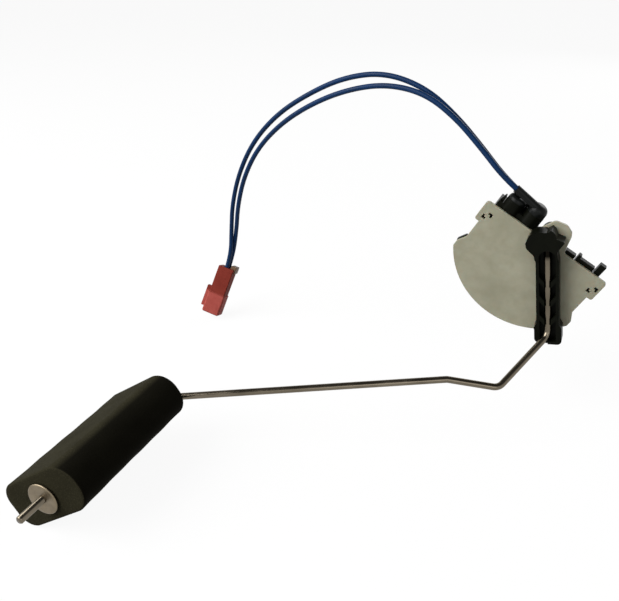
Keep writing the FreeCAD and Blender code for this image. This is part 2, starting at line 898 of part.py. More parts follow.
def arm_holder():
    """The black arm: a floor, two side walls with clip teeth, a hood and a hub."""
    floor_top = holder_back + holder_floor
    wall_top = wire_height + wall_above_wire
    hood_top = wire_height + hood_above_wire
    inner = holder_half_width - holder_wall
    holder = plate(holder_outline(), holder_back, wall_top)
    arch = hood_end - inner
    notch = block(-foot_half_width - 1, -inner + 0.1, foot_end - 1, foot_notch_start,
                  floor_top + foot_notch_floor, wall_top + 1)
    holder = holder.cut(notch)
    holder = holder.cut(block(-foot_half_width - 1, 0, foot_end - 1, foot_end + holder_wall + 0.5,
                              floor_top + foot_notch_floor, wall_top + 1))
    hood = plate(head_outline, wall_top - 0.5, hood_top)
    hood = hood.cut(block(-2 * foot_half_width, 2 * foot_half_width, foot_end, hood_side_end,
                          wall_top - 1, hood_top + 1))
    holder = holder.fuse(hood)
    channel = block(-inner, inner, foot_end + holder_wall, arch, floor_top, hood_top + 1)
    channel = channel.fuse(disc(0, arch, inner, floor_top, hood_top + 1))
    holder = holder.cut(channel)
    for z in barb_places:
        for side in (-1, 1):
            holder = holder.fuse(barb(z, side))
    holder = holder.fuse(disc(0, 0, hub_radius, carrier_top, holder_back + 0.5))
    holder = holder.fuse(disc(0, 0, collar_radius, hub_bottom, carrier_top + 0.5))
    holder = holder.cut(disc(0, 0, hub_bore, hub_bottom - 1, hub_bore_top))
    holder = holder.cut(wire_shape(wire_radius))
    return on_arm(one_solid(holder))


def wiper_carrier():
    """A plate pressed on the hub's collar inside the housing."""
    ring = hub_radius + carrier_half_width / 2
    carrier = disc(0, 0, ring, carrier_bottom, carrier_top)
    carrier = carrier.fuse(block(-carrier_half_width, carrier_half_width, -carrier_reach, 0,
                                 carrier_bottom, carrier_top))
    carrier = carrier.cut(disc(0, 0, collar_radius, 0, housing_depth))
    for reach in wiper_rivets_at:
        carrier = carrier.cut(disc(0, -reach, rivet_diameter / 2, 0,
                                   carrier_bottom + wiper_rivet_depth))
    return on_arm(one_solid(carrier))


def wiper_spring():
    """A thin leaf that steps down from the carrier and forks over the tracks."""
    half = spring_half_width
    top = carrier_bottom
    thick = spring_thickness
    step_start = -carrier_reach
    step_end = step_start - spring_step
    tip = -outer_track - spring_past_track
    profile = [(spring_root * -1, top), (step_start, top), (step_end, spring_low + thick),
               (tip, spring_low + thick), (tip, spring_low), (step_end - thick / 2, spring_low),
               (step_start - thick / 2, top - thick), (spring_root * -1, top - thick)]
    corners = [V(-half, -height, z) for z, height in profile]
    leaf = Part.Face(Part.makePolygon(corners + corners[:1])).extrude(V(2 * half, 0, 0))
    leaf = leaf.cut(block(-spring_slot / 2, spring_slot / 2, tip - 1, step_end - 0.5,
                          0, housing_depth))
    for reach in wiper_rivets_at:
        leaf = leaf.cut(disc(0, -reach, rivet_diameter / 2, 0, housing_depth))
    return on_arm(leaf)


def wiper_contacts():
    """A contact under each finger of the leaf, one on each track."""
    x = (spring_half_width + spring_slot / 2) / 2
    radius = contact_diameter / 2
    outer = disc(x, -outer_track, radius, contact_bottom, spring_low)
    inner = disc(-x, -inner_track, radius, contact_bottom, spring_low)
    return on_arm(Part.makeCompound([outer, inner]))


def wiper_rivets():
    """Two rivets that hold the leaf to the carrier."""
    rivets = []
    low = carrier_bottom - spring_thickness
    for reach in wiper_rivets_at:
        rivet = disc(0, -reach, rivet_diameter / 2, low, carrier_bottom + wiper_rivet_depth)
        rivet = rivet.fuse(disc(0, -reach, rivet_head / 2, low - rivet_head_height, low))
        rivets.append(one_solid(rivet))
    return on_arm(Part.makeCompound(rivets))


# Float

def foam_float():
    """A foam slab with rounded sides, bored through for the wire."""
    half_width = float_width / 2
    half_thick = float_thickness / 2
    corners = [(-half_width, -half_thick, float_left_rounding),
               (half_width, -half_thick, float_rounding),
               (half_width, half_thick, float_rounding),
               (-half_width, half_thick, float_left_rounding)]
    slab = plate(corners, -float_far, -float_near)
    ends = [e for e in slab.Edges
            if abs(e.BoundBox.YLength) < 1e-6]
    slab = slab.makeFillet(float_edge, ends)
    slab = slab.cut(disc(0, 0, wire_radius + float_bore_gap, -float_far - 1, -float_near + 1))
    slab.rotate(V(0, 0, 0), V(0, 1, 0), -float_tilt - arm_rest)
    slab.translate(V(float_bend[0], 0, float_bend[2]))
    return on_arm(slab)


def end_washer():
    """A push-on washer that keeps the float on the wire."""
    x = float_bend[0]
    z = float_bend[2]
    washer = disc(x, z, washer_diameter / 2, -washer_back, -washer_back + washer_thickness)
    rims = [e for e in washer.Edges if abs(e.BoundBox.YLength) < 1e-6]
    washer = washer.makeFillet(washer_edge, rims)
    washer = washer.cut(disc(x, z, wire_radius, -washer_back - 1,
                             -washer_back + washer_thickness + 1))
    return on_arm(washer)


parts = {
    "front_cover": front_cover(),
    "back_base": back_base(),
    "pivot_pin": pivot_pin(),
    "resistor_card": resistor_card(),
    "resistor_tracks": resistor_tracks(),
    "card_rivets": card_rivets(),
    "terminal_left": terminal(barrel_left, rivet_places()[0]),
    "terminal_right": terminal(barrel_right, rivet_places()[1]),
    "seal_left": left_seal(),
    "seal_right": right_seal(),
    "lead_left": lead("lead_left", left_sleeve_end, left_sleeve_start, lead_left_points, -1),
    "lead_right": lead("lead_right", right_sleeve_end, right_sleeve_start,
                       lead_right_points, 1),
    "connector_housing": connector_housing(),
    "connector_retainer": connector_retainer(),
    "contact_left": contact(-1),
    "contact_right": contact(1),
    "arm_holder": arm_holder(),
    "arm_wire": arm_wire(),
    "wiper_carrier": wiper_carrier(),
    "wiper_spring": wiper_spring(),
    "wiper_contacts": wiper_contacts(),
    "wiper_rivets": wiper_rivets(),
    "end_washer": end_washer(),
    "float": foam_float(),
}

os.makedirs("parts", exist_ok=True)
for name, shape in parts.items():
    shape.exportStep("parts/" + name + ".step")
    print(name, len(shape.Solids), "solid", shape.isValid(), round(shape.Volume, 1))
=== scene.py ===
"""Looks of the fuel level sender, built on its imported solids.  Metres, +Z up."""
import math

import bmesh
import bpy
import numpy as np
from mathutils import Matrix, Vector


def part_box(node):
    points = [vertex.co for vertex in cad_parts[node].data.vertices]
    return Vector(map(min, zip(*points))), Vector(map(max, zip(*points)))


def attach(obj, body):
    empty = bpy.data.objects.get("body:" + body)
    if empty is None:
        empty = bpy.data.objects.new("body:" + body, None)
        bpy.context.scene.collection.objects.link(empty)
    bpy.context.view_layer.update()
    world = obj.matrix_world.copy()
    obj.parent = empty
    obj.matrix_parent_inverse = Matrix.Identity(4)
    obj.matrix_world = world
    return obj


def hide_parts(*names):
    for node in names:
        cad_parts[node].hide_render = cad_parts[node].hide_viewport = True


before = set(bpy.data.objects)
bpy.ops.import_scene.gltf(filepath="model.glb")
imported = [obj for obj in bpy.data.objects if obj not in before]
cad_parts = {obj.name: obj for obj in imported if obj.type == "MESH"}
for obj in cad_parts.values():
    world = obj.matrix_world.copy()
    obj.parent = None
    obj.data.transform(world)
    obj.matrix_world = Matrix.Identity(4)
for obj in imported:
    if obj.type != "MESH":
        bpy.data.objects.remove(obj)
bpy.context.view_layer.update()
MM = 0.001


# ---------------------------------------------------------------- Camera
# A small camera stands before the sender's right end and above it, about
# 0.3 m away.  Its three directions are measured on the housing and float.
camera_right = Vector((0.921, 0.389, 0.0))
camera_up = Vector((-0.174, 0.4115, 0.895))
camera_place = Vector((14.26, -305.9, 109.35)) * MM
sensor_width = 36.0
focal_length = 40.71

camera_data = bpy.data.cameras.new("camera")
camera_data.sensor_width = sensor_width
camera_data.lens = focal_length
camera_data.clip_start = 0.01
camera_data.clip_end = 100.0
camera = bpy.data.objects.new("camera", camera_data)
bpy.context.scene.collection.objects.link(camera)
backwards = camera_right.cross(camera_up).normalized()
upwards = backwards.cross(camera_right).normalized()
turn = Matrix((camera_right.normalized(), upwards, backwards)).transposed()
camera.matrix_world = Matrix.Translation(camera_place) @ turn.to_4x4()
bpy.context.scene.camera = camera


# ---------------------------------------------------------------- Connector
# A two-way plug moulded in red nylon, a little fuller in its lower half.  A
# tan nylon lock is pushed in beside the leads and holds the two contacts.
plug_foot = (-179.86 * MM, 6.6 * MM, -79.96 * MM)
plug_upwards = (0.221, 0.3965, 0.891)
upper_half_from = 13.0 * MM
lower_half_to = 11.5 * MM
plug_edge = 0.15 * MM
lock_edge = 0.2 * MM
crease = math.radians(38)
flat_within = math.radians(0.5)
merge_within = 0.001 * MM


def linear(colour):
    """An sRGB hex value as linear red, green and blue with a full alpha: each part
    over 12.92 when it is dark, and otherwise (part + 0.055) / 1.055 to the 2.4."""
    parts = [int(colour[i:i + 2], 16) / 255 for i in (1, 3, 5)]
    curve = [p / 12.92 if p <= 0.04045 else ((p + 0.055) / 1.055) ** 2.4
             for p in parts]
    return (*curve, 1.0)


def add(tree, kind, inputs=None, **settings):
    """One node with its settings; each input is a value or another node's socket."""
    made = tree.nodes.new("ShaderNode" + kind)
    for key, value in settings.items():
        setattr(made, key, value)
    for key, value in (inputs or {}).items():
        if isinstance(value, bpy.types.NodeSocket):
            tree.links.new(value, made.inputs[key])
        else:
            made.inputs[key].default_value = value
    return made


def blank(name):
    """An empty node material and its tree."""
    material = bpy.data.materials.new(name)
    material.use_nodes = True
    material.node_tree.nodes.clear()
    return material, material.node_tree


def mottled(name, patch, detail, low, high, finish):
    """A material whose colour wanders between two hex values in patches of a size."""
    material, tree = blank(name)
    place = add(tree, "TexCoord").outputs["Object"]
    wander = add(tree, "TexNoise", {"Vector": place, "Scale": 1 / patch,
                                    "Detail": detail}).outputs["Fac"]
    colour = add(tree, "Mix", {0: wander, 6: linear(low), 7: linear(high)},
                 data_type="RGBA").outputs[2]
    shader = add(tree, "BsdfPrincipled", {"Base Color": colour, **finish})
    add(tree, "OutputMaterial", {"Surface": shader.outputs[0]})
    return material


def fitted(name, data, body, node):
    """An object that shows the data in place of a solid and moves with its body."""
    piece = bpy.data.objects.new(name, data)
    bpy.context.scene.collection.objects.link(piece)
    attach(piece, body)
    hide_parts(node)
    return piece


def rounded_copy(node, edge, material, body):
    """A merged copy of a moulded solid, with each sharp edge rounded by a bevel."""
    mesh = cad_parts[node].data.copy()
    work = bmesh.new()
    work.from_mesh(mesh)
    bmesh.ops.remove_doubles(work, verts=work.verts, dist=merge_within)
    bmesh.ops.dissolve_limit(work, angle_limit=flat_within, verts=work.verts,
                             edges=work.edges)
    work.to_mesh(mesh)
    work.free()
    mesh.materials.clear()
    mesh.materials.append(material)
    mesh.shade_smooth()
    mesh.set_sharp_from_angle(angle=crease)
    piece = fitted(node + "_rounded", mesh, body, node)
    bevel = piece.modifiers.new("edge", "BEVEL")
    bevel.width = edge
    bevel.segments = 2
    bevel.limit_method = "ANGLE"
    bevel.angle_limit = crease
    bevel.harden_normals = True
    bevel.use_clamp_overlap = True
    return piece


# Moulded nylon: a dull, even red, paler on the full lower half.  The
# mould's fine grain is drawn coarse enough to show.
red_nylon, tree = blank("red nylon")
place = add(tree, "TexCoord").outputs["Object"]
worn = add(tree, "TexNoise", {"Vector": place, "Scale": 1 / (4 * MM),
                              "Detail": 3.0}).outputs["Fac"]
foot = add(tree, "VectorMath", {0: place, 1: plug_foot}, operation="SUBTRACT")
height = add(tree, "VectorMath", {0: foot.outputs[0], 1: plug_upwards},
             operation="DOT_PRODUCT")
lower = add(tree, "MapRange", {"Value": height.outputs["Value"],
                               "From Min": upper_half_from, "From Max": lower_half_to})
upper_red = add(tree, "Mix", {0: worn, 6: linear("#69271F"), 7: linear("#7E342A")},
                data_type="RGBA").outputs[2]
lower_red = add(tree, "Mix", {0: worn, 6: linear("#8F3F38"), 7: linear("#A5524A")},
                data_type="RGBA").outputs[2]
# The plug's red is mixed paler on its lower half, by height along the plug.
paler_below = add(tree, "Mix", {0: lower.outputs[0], 6: upper_red, 7: lower_red},
             data_type="RGBA").outputs[2]
mould = add(tree, "TexNoise", {"Vector": place, "Scale": 1 / (0.5 * MM), "Detail": 2.0})
relief = add(tree, "Bump", {"Height": mould.outputs["Fac"], "Strength": 0.2,
                            "Distance": 0.04 * MM})
shader = add(tree, "BsdfPrincipled", {
    "Base Color": paler_below, "Roughness": 0.48, "IOR": 1.35, "Specular IOR Level": 0.06,
    "Normal": relief.outputs[0]})
add(tree, "OutputMaterial", {"Surface": shader.outputs[0]})

# Moulded nylon again: a dull tan with faint darker patches from handling.
tan_nylon = mottled("tan nylon", 3 * MM, 3.0, "#4A3524", "#6E5439",
                    {"Roughness": 0.5, "IOR": 1.35})

plug = rounded_copy("connector_housing", plug_edge, red_nylon,
                    "housing")
lock = rounded_copy("connector_retainer", lock_edge, tan_nylon,
                    "housing")


# ---------------------------------------------------------------- Leads
# Two stiff single-core leads in dark blue PVC insulation.  They leave the
# seals on the housing, arch over together and drop into the plug.
lead_diameter = 2.4 * MM
lead_left_route = [
    (-16.63, -6.3, 18.94), (-22.88, -5.98, 23.93), (-32.5, -4.8, 34.0),
    (-45.5, -2.6, 46.2), (-60.5, 0.0, 56.6), (-80.0, 2.7, 61.5),
    (-100.0, 5.5, 57.8), (-119.0, 8.3, 48.8), (-137.0, 11.0, 37.2),
    (-152.2, 13.7, 21.6), (-162.8, 16.2, 3.0), (-169.1, 18.6, -15.9),
    (-171.4, 20.3, -30.6), (-171.91, 18.6, -48.66), (-175.01, 13.04, -61.14)]
lead_right_route = [
    (-16.16, -10.6, 20.17), (-22.21, -11.96, 25.23), (-32.0, -8.8, 34.4),
    (-45.0, -6.4, 46.2), (-60.0, -4.0, 55.2), (-78.7, -0.8, 57.2),
    (-98.0, 2.0, 52.8), (-116.5, 5.0, 44.6), (-134.0, 8.0, 33.2),
    (-148.7, 11.0, 18.6), (-158.8, 14.0, 1.5), (-165.1, 17.4, -16.2),
    (-168.9, 21.6, -31.6), (-172.6, 21.88, -49.95), (-175.7, 16.33, -62.43)]

# Extruded PVC: an even soft gloss, a faint waviness along the lead from the
# extrusion, and slightly dulled patches where it has been handled.
lead_pvc, tree = blank("dark blue PVC insulation")
place = add(tree, "TexCoord").outputs["Object"]
handled = add(tree, "TexNoise", {"Vector": place, "Scale": 1 / (9 * MM),
                                 "Detail": 2.0}).outputs["Fac"]
waves = add(tree, "TexNoise", {"Vector": place, "Scale": 1 / (1.6 * MM), "Detail": 1.0})
dulling = add(tree, "MapRange", {"Value": handled, "From Min": 0.35, "From Max": 0.7,
                                 "To Min": 0.34, "To Max": 0.5})
relief = add(tree, "Bump", {"Height": waves.outputs["Fac"], "Strength": 0.12,
                            "Distance": 0.05 * MM})
blue = add(tree, "Mix", {0: handled, 6: linear("#041E3A"), 7: linear("#072E59")},
           data_type="RGBA").outputs[2]
shader = add(tree, "BsdfPrincipled", {
    "Base Color": blue, "Roughness": dulling.outputs[0], "IOR": 1.5,
    "Specular IOR Level": 0.12, "Normal": relief.outputs[0]})
add(tree, "OutputMaterial", {"Surface": shader.outputs[0]})


def lead(name, route, node):
    """A round cord whose centre line is a quadratic NURBS curve on the route."""
    curve = bpy.data.curves.new(name, "CURVE")
    curve.dimensions = "3D"
    curve.bevel_depth = lead_diameter / 2
    curve.bevel_resolution = 6
    curve.resolution_u = 10
    curve.use_fill_caps = True
    spline = curve.splines.new("NURBS")
    spline.points.add(len(route) - 1)
    for point, (x, y, z) in zip(spline.points, route):
        point.co = (x * MM, y * MM, z * MM, 1.0)
    spline.order_u = 3
    spline.use_endpoint_u = True
    curve.materials.append(lead_pvc)
    return fitted(name, curve, "housing", node)


left_cord = lead("blue_lead_left", lead_left_route, "lead_left")
right_cord = lead("blue_lead_right", lead_right_route, "lead_right")


# ---------------------------------------------------------------- Seals
# Soft black rubber caps pressed on the two barrels, each drawn out into a
# sleeve over its lead.  Moulded rubber has no sharp edge anywhere.
seal_edge = 0.15 * MM

# Moulded rubber: near black with a faint grey bloom, a low sheen and a skin
# that is drawn a little coarser than it is.
seal_rubber, tree = blank("moulded black rubber")
place = add(tree, "TexCoord").outputs["Object"]
bloom = add(tree, "TexNoise", {"Vector": place, "Scale": 1 / (3 * MM),
                               "Detail": 3.0}).outputs["Fac"]
skin = add(tree, "TexNoise", {"Vector": place, "Scale": 1 / (0.35 * MM), "Detail": 2.0})
relief = add(tree, "Bump", {"Height": skin.outputs["Fac"], "Strength": 0.2,
                            "Distance": 0.05 * MM})
black = add(tree, "Mix", {0: bloom, 6: linear("#080A09"), 7: linear("#121413")},
            data_type="RGBA").outputs[2]
shader = add(tree, "BsdfPrincipled", {
    "Base Color": black, "Roughness": 0.36, "IOR": 1.5, "Specular IOR Level": 0.12,
    "Normal": relief.outputs[0]})
add(tree, "OutputMaterial", {"Surface": shader.outputs[0]})

for seal in ("seal_left", "seal_right"):
    rounded_copy(seal, seal_edge, seal_rubber, "housing")


# ---------------------------------------------------------------- Front cover
# A flat injection-moulded plate of natural acetal, snapped over the base with
# a lobe above the pivot and a window for each of its two snap posts.
cover_edge = 0.22 * MM

# Natural acetal: milky, with a soft sheen, clouded in broad patches and greyed
# in small ones with use.  The mould's grain is drawn coarse enough to show.
cover_acetal, tree = blank("natural acetal")
place = add(tree, "TexCoord").outputs["Object"]
cloud = add(tree, "TexNoise", {"Vector": place, "Scale": 1 / (14 * MM), "Detail": 3.0,
                               "Roughness": 0.55}).outputs["Fac"]
smudge = add(tree, "TexNoise", {"Vector": place, "Scale": 1 / (4 * MM), "Detail": 4.0,
                                "Roughness": 0.6})
mould = add(tree, "TexNoise", {"Vector": place, "Scale": 1 / (0.5 * MM), "Detail": 2.0})
clouded = add(tree, "Mix", {0: cloud, 6: linear("#7C7A65"), 7: linear("#A8A591")},
              data_type="RGBA").outputs[2]
smudging = add(tree, "MapRange", {"Value": smudge.outputs["Fac"], "From Min": 0.42,
                                  "From Max": 0.75, "To Min": 0.0, "To Max": 0.35})
greyed = add(tree, "Mix", {0: smudging.outputs[0], 6: clouded, 7: linear("#7C7A64")},
             data_type="RGBA").outputs[2]
relief = add(tree, "Bump", {"Height": mould.outputs["Fac"], "Strength": 0.15,
                            "Distance": 0.04 * MM})
shader = add(tree, "BsdfPrincipled", {
    "Base Color": greyed, "Roughness": 0.46, "IOR": 1.48, "Subsurface Weight": 0.15,
    "Subsurface Scale": 0.8 * MM, "Normal": relief.outputs[0]})
add(tree, "OutputMaterial", {"Surface": shader.outputs[0]})
rounded_copy("front_cover", cover_edge, cover_acetal, "housing")


# ---------------------------------------------------------------- Back base
# The tray behind the cover, one moulding in black acetal with the clips along
# its straight edge, the terminal block and the two barrels.
base_edge = 0.18 * MM

# Black acetal: a deep, slightly green black with a low satin sheen.  The
# mould's grain is drawn coarse enough to show.
black_acetal, tree = blank("black acetal")
place = add(tree, "TexCoord").outputs["Object"]
flow = add(tree, "TexNoise", {"Vector": place, "Scale": 1 / (5 * MM),
                              "Detail": 2.0}).outputs["Fac"]
mould = add(tree, "TexNoise", {"Vector": place, "Scale": 1 / (0.4 * MM), "Detail": 2.0})
relief = add(tree, "Bump", {"Height": mould.outputs["Fac"], "Strength": 0.25,
                            "Distance": 0.04 * MM})
black = add(tree, "Mix", {0: flow, 6: linear("#070805"), 7: linear("#10110B")},
            data_type="RGBA").outputs[2]
shader = add(tree, "BsdfPrincipled", {
    "Base Color": black, "Roughness": 0.34, "IOR": 1.35, "Specular IOR Level": 0.07,
    "Normal": relief.outputs[0]})
add(tree, "OutputMaterial", {"Surface": shader.outputs[0]})
rounded_copy("back_base", base_edge, black_acetal, "housing")


# ---------------------------------------------------------------- Arm holder
# The swinging arm is one moulding in the base's black acetal: a hooded head on
# its hub, two side walls and slanted clip teeth that hold the wire.
holder_edge = 0.2 * MM
rounded_copy("arm_holder", holder_edge, black_acetal, "float_arm")


# ---------------------------------------------------------------- Arm wire
# Cold-drawn steel rod, bent cold to reach from the pivot to the float and
# pressed between the holder's teeth.
wire_radius = 1.5 * MM
wire_end_round = 0.25 * wire_radius
wire_end_gap = 0.02
wire_around = 32
bend_steps = 14
arm_rest = math.radians(29.5 - 38.0)
wire_height = 16.5
wire_corners = [
    (0.0, -13.0, 0.0), (0.0, -wire_height, 0.0), (0.0, -wire_height, -42.6),
    (-17.5, -42.5, -56.1), (-37.8, -49.5, -49.9), (-156.0, -98.0, -42.9),
    (-156.0, -177.998, -42.9)]
wire_bends = [3.0, 5.0, 5.0, 5.0, 4.5]

# Drawn steel: a warm, dark film of storage oil over fine lines that the die
# left along it, and painted shade, near black, on the end that the hub holds.
drawn_steel, tree = blank("drawn steel rod")
lengthwise = add(tree, "UVMap", uv_map="along_wire").outputs[0]
stretched = add(tree, "Mapping", {"Vector": lengthwise,
                                  "Scale": (1 / (20 * MM), 30.0, 1.0)})
lines = add(tree, "TexNoise", {"Vector": stretched.outputs[0], "Scale": 1.0,
                               "Detail": 4.0})
place = add(tree, "TexCoord").outputs["Object"]
film = add(tree, "TexNoise", {"Vector": place, "Scale": 1 / (12 * MM),
                              "Detail": 3.0}).outputs["Fac"]
shine = add(tree, "MapRange", {"Value": film, "From Min": 0.3, "From Max": 0.7,
                               "To Min": 0.14, "To Max": 0.28})
relief = add(tree, "Bump", {"Height": lines.outputs["Fac"], "Strength": 0.15,
                            "Distance": 0.03 * MM})
reach = add(tree, "SeparateXYZ", {"Vector": lengthwise}).outputs["X"]
clear = add(tree, "MapRange", {"Value": reach, "From Min": 7.5 * MM,
                               "From Max": 9.5 * MM})
oiled = add(tree, "Mix", {0: film, 6: linear("#514A3E"), 7: linear("#82796A")},
            data_type="RGBA").outputs[2]
# Painted shade: the wire is mixed to near black over its first 7.5 to 9.5 mm, inside
# the hub under the hood.
hub_end_painted_shade = add(tree, "Mix", {0: clear.outputs[0], 6: linear("#14120E"), 7: oiled},
              data_type="RGBA").outputs[2]
shader = add(tree, "BsdfPrincipled", {
    "Base Color": hub_end_painted_shade, "Metallic": 1.0, "Roughness": shine.outputs[0],
    "Normal": relief.outputs[0]})
add(tree, "OutputMaterial", {"Surface": shader.outputs[0]})


def on_arm(points):
    """Points on the hanging arm, in millimetres, turned about Y to the rest angle:
    x cos + z sin, and z cos - x sin."""
    points = np.asarray(points, float) * MM
    cosine, sine = math.cos(arm_rest), math.sin(arm_rest)
    x = points[..., 0] * cosine + points[..., 2] * sine
    z = points[..., 2] * cosine - points[..., 0] * sine
    return np.stack([x, points[..., 1], z], -1)


def bent_line(corners, bends, steps):
    """Straight runs joined by tangent arcs.  An arc's centre lies on the bisector at
    radius / sin(half), and starts radius / tan(half) before the corner, where half is
    half the angle between the runs."""
    line = [corners[0]]
    for before, corner, after, radius in zip(corners, corners[1:], corners[2:], bends):
        back = (before - corner) / np.linalg.norm(before - corner)
        ahead = (after - corner) / np.linalg.norm(after - corner)
        half = math.acos(np.clip(back @ ahead, -1, 1)) / 2
        middle = (back + ahead) / np.linalg.norm(back + ahead)
        centre = corner + middle * radius / math.sin(half)
        first = corner + back * radius / math.tan(half)
        out = (first - centre) / radius
        side = np.cross(np.cross(back, ahead), out)
        side = -side / np.linalg.norm(side)
        if side @ back > 0:
            side = -side
        angle = np.linspace(0, math.pi - 2 * half, steps)[:, None]
        line.append(centre + radius * (np.cos(angle) * out + np.sin(angle) * side))
    line.append(corners[-1])
    return np.vstack(line)


def surface(name, points, faces, material, sharp):
    """A smooth mesh of points and faces, with a hard edge past an angle in degrees."""
    mesh = bpy.data.meshes.new(name)
    mesh.from_pydata(points.reshape(-1, 3).tolist(), [], faces)
    mesh.shade_smooth()
    mesh.set_sharp_from_angle(angle=math.radians(sharp))
    mesh.materials.append(material)
    return mesh


def round_wire(name, line, radius, around, material):
    """A circle of the radius carried square to a line, without twisting, closed and
    slightly rounded at both ends.  Its map gives the run along the line in metres
    and the share of a turn round it."""
    ahead = np.gradient(line, axis=0)
    ahead /= np.linalg.norm(ahead, axis=1, keepdims=True)
    normals = np.zeros_like(line)
    seed = np.cross(ahead[0], (0.3, 0.5, 0.8))
    normals[0] = seed / np.linalg.norm(seed)
    for i in range(1, len(line)):
        flat = normals[i - 1] - (normals[i - 1] @ ahead[i]) * ahead[i]
        normals[i] = flat / np.linalg.norm(flat)
    sides = np.cross(ahead, normals)

    shoulder = 1 - wire_end_round / radius
    rows = [(0, 0.0, wire_end_gap), (0, 0.0, shoulder), (0, wire_end_round, 1.0)]
    rows += [(i, 0.0, 1.0) for i in range(1, len(line) - 1)]
    rows += [(-1, -wire_end_round, 1.0), (-1, 0.0, shoulder), (-1, 0.0, wire_end_gap)]
    index = np.array([r[0] for r in rows])
    shift = np.array([r[1] for r in rows])[:, None]
    scale = np.array([r[2] for r in rows])[:, None, None]
    centre = line[index] + shift * ahead[index]
    angle = np.linspace(0, 2 * math.pi, around, endpoint=False)
    ring = (np.cos(angle)[None, :, None] * normals[index][:, None, :]
            + np.sin(angle)[None, :, None] * sides[index][:, None, :])
    points = centre[:, None, :] + radius * scale * ring

    grid = np.arange(len(rows) * around).reshape(-1, around)
    following = np.roll(grid, -1, axis=1)
    faces = np.stack([grid[:-1], following[:-1], following[1:], grid[1:]],
                     -1).reshape(-1, 4).tolist()
    faces += [grid[0][::-1].tolist(), grid[-1].tolist()]
    mesh = surface(name, points, faces, material, 60)
    steps = np.linalg.norm(np.diff(centre, axis=0), axis=1)
    along = np.repeat(np.concatenate([[0], np.cumsum(steps)]), around)
    share = np.tile(angle / (2 * math.pi), len(rows))
    corner = np.zeros(len(mesh.loops), int)
    mesh.loops.foreach_get("vertex_index", corner)
    layer = mesh.uv_layers.new(name="along_wire")
    layer.data.foreach_set("uv", np.stack([along[corner], share[corner]], -1).ravel())
    return mesh


wire_line = on_arm(bent_line(np.array(wire_corners), wire_bends, bend_steps))
wire_mesh = round_wire("bent_wire", wire_line, wire_radius, wire_around, drawn_steel)
fitted("bent_wire", wire_mesh, "float_arm", "arm_wire")


# ---------------------------------------------------------------- Float
# A slab of black closed-cell nitrile foam with fully rounded sides, bored
# through so that it turns freely on the wire's last straight run.
float_axis = on_arm([(-156.0, 0.0, -42.9)])[0]
float_low, float_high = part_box("float")
float_half = (20.3 * MM, 9.7 * MM)
float_corners = (7.0 * MM, 9.0 * MM)
float_tilt = math.radians(35.0)
float_bore = 1.58 * MM
float_round = 0.8 * MM
sway_depth = 0.11 * MM
sway_fade = 4.0
broad_from, broad_rise = 0.78, 0.17
lit_end_depth = 0.3 * MM
corner_steps = 24
edge_rings = 5
side_rings = 34
end_rings = 8

# Nitrile foam: dull, finely pitted all over and black, with painted light on the
# broad faces and ends: a paler colour with light flecks, for the light falling there.
nitrile_foam, tree = blank("closed-cell nitrile foam")
place = add(tree, "TexCoord").outputs["Object"]
pores = add(tree, "TexVoronoi", {"Vector": place, "Scale": 1 / (0.7 * MM)})
speckle = add(tree, "TexNoise", {"Vector": place, "Scale": 1 / (0.45 * MM),
                                 "Detail": 3.0}).outputs["Fac"]
patch = add(tree, "TexNoise", {"Vector": place, "Scale": 1 / (11 * MM),
                               "Detail": 3.0}).outputs["Fac"]
pitting = add(tree, "Math", {0: pores.outputs["Distance"], 1: speckle},
              operation="MULTIPLY")
relief = add(tree, "Bump", {"Height": pitting.outputs[0], "Strength": 0.35,
                            "Distance": 0.12 * MM})
# Painted light: how much of the paler, flecked foam colour each point takes, kept in a
# mesh attribute.
painted_light = add(tree, "Attribute", attribute_name="painted_light").outputs["Fac"]
moulded = add(tree, "Mix", {0: patch, 6: linear("#0C0B07"), 7: linear("#13120C")},
              data_type="RGBA").outputs[2]
lit_foam = add(tree, "Mix", {0: patch, 6: linear("#201E15"), 7: linear("#2D2B1F")},
             data_type="RGBA").outputs[2]
skin = add(tree, "Mix", {0: painted_light, 6: moulded, 7: lit_foam}, data_type="RGBA").outputs[2]
fleck = add(tree, "MapRange", {"Value": speckle, "From Min": 0.55, "From Max": 0.72,
                               "To Min": 0.0, "To Max": 0.35})
flecks = add(tree, "Math", {0: fleck.outputs[0], 1: painted_light}, operation="MULTIPLY")
flecked = add(tree, "Mix", {0: flecks.outputs[0], 6: skin, 7: linear("#4A4738")},
              data_type="RGBA").outputs[2]
shader = add(tree, "BsdfPrincipled", {
    "Base Color": flecked, "Roughness": 0.8, "IOR": 1.25, "Specular IOR Level": 0.06,
    "Normal": relief.outputs[0]})
add(tree, "OutputMaterial", {"Surface": shader.outputs[0]})

slab_angle = np.linspace(0, 2 * math.pi, 4 * corner_steps, endpoint=False)
slab_angle += math.pi / (4 * corner_steps)


def slab_outline(inset):
    """A rectangle with rounded corners, tighter at its left end: each corner's centre
    plus its radius, less the inset, along the slab's angles."""
    cosine, sine = np.cos(slab_angle), np.sin(slab_angle)
    corner = np.where(cosine < 0, *float_corners)
    across = np.sign(cosine) * (float_half[0] - corner) + (corner - inset) * cosine
    up = np.sign(sine) * (float_half[1] - corner) + (corner - inset) * sine
    return np.stack([across, up], -1)


def ring_faces(count, around):
    """Quads between each ring and the next, and from the last ring to the first."""
    grid = np.arange(count * around).reshape(count, around)
    ahead, upper = np.roll(grid, -1, axis=1), np.roll(grid, -1, axis=0)
    corner = np.roll(ahead, -1, axis=0)
    return np.stack([grid, upper, corner, ahead], -1).reshape(-1, 4).tolist()


